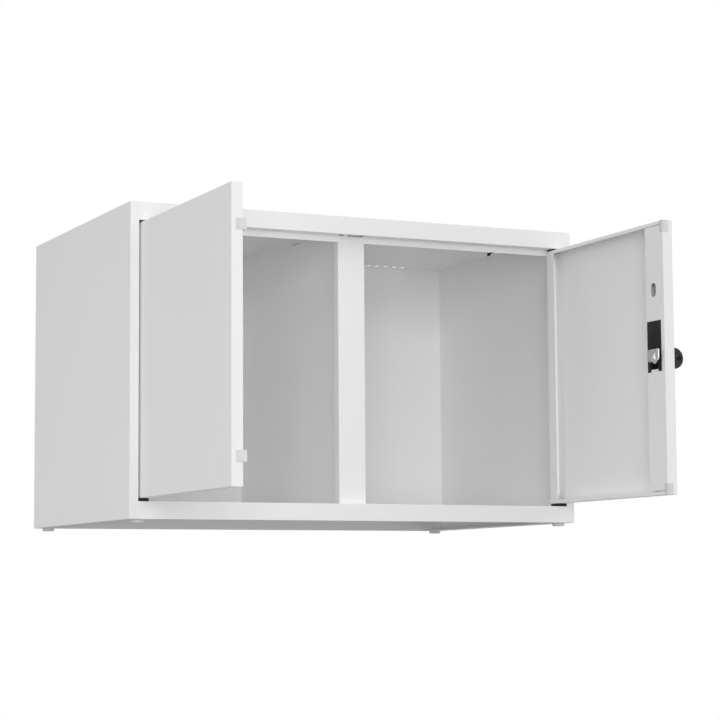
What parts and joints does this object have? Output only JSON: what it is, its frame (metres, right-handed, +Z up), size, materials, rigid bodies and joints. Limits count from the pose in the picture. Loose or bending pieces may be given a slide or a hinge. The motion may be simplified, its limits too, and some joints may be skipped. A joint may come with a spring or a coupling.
{
  "type": "locker top unit",
  "caption": "Wide low sheet-steel locker top unit: two compartments, hinged doors standing open, padlock turn-knob with sliding bolt, vented roof, round feet.",
  "frame": {"origin": "middle of the four feet, on the surface that they stand on", "axes": "+X to the right seen from the front, +Y from the front to the back, +Z up"},
  "size_m": [0.812, 0.8783, 0.505],
  "materials": {
    "grey_coat": "semi-gloss light grey powder coat",
    "black_plastic": "fine-grained black moulded plastic",
    "knob_plastic": "satin black moulded plastic",
    "grey_rubber": "matt grey soft plastic",
    "pale_plastic": "matt pale plastic",
    "zinc": "dull zinc plate",
    "bolt_zinc": "bright zinc plate",
    "black_steel": "black-passivated zinc plate"
  },
  "bodies": {
    "carcass": {"left_side_wall": "grey_coat", "right_side_wall": "grey_coat", "left_jamb": "grey_coat", "right_jamb": "grey_coat", "roof_panel": "grey_coat", "header_rail": "grey_coat", "floor_panel": "grey_coat", "back_panel": "grey_coat", "divider_left_skin": "grey_coat", "divider_right_skin": "grey_coat", "centre_post": "grey_coat", "hinge_bushings": "black_plastic", "hinge_pins": "zinc", "feet": "pale_plastic", "magnet_catch": "black_plastic", "catch_magnet": "zinc", "ceiling_clip": "black_plastic", "divider_tab": "zinc"},
    "left_door": {"left_door_panel": "grey_coat", "left_door_stiffener": "grey_coat", "left_door_hinge_cups": "zinc", "left_door_bumpers": "grey_rubber"},
    "right_door": {"right_door_panel": "grey_coat", "right_door_stiffener": "grey_coat", "right_door_hinge_cups": "zinc", "right_door_corner_buffers": "grey_rubber", "lock_case": "black_plastic", "lock_screws": "black_steel", "lock_rosette": "knob_plastic"},
    "knob": {"turn_knob": "knob_plastic", "crank_disc": "black_plastic", "crank_screw": "black_steel"},
    "bolt": {"lock_bolt": "bolt_zinc"}
  },
  "joints": [
    {"name": "left_door_hinge", "type": "hinge", "parent": "carcass", "child": "left_door", "pos_m": [-0.372, -0.2395, 0.255], "axis": [0, 0, -1], "range_deg": [-90, 10]},
    {"name": "right_door_hinge", "type": "hinge", "parent": "carcass", "child": "right_door", "pos_m": [0.372, -0.2395, 0.255], "axis": [0, 0, 1], "range_deg": [-90, 10]},
    {"name": "knob_turn", "type": "hinge", "parent": "right_door", "child": "knob", "pos_m": [0.4, -0.5625, 0.25495], "axis": [1, 0, 0], "range_deg": [0, 90]},
    {"name": "bolt_slide", "type": "slide", "parent": "right_door", "child": "bolt", "axis": [0, -1, 0], "range_m": [0, 0.0106]}
  ],
  "couplings": [
    {"joint": "bolt_slide", "follows": "knob_turn", "m_per_rad": 0.006748}
  ]
}
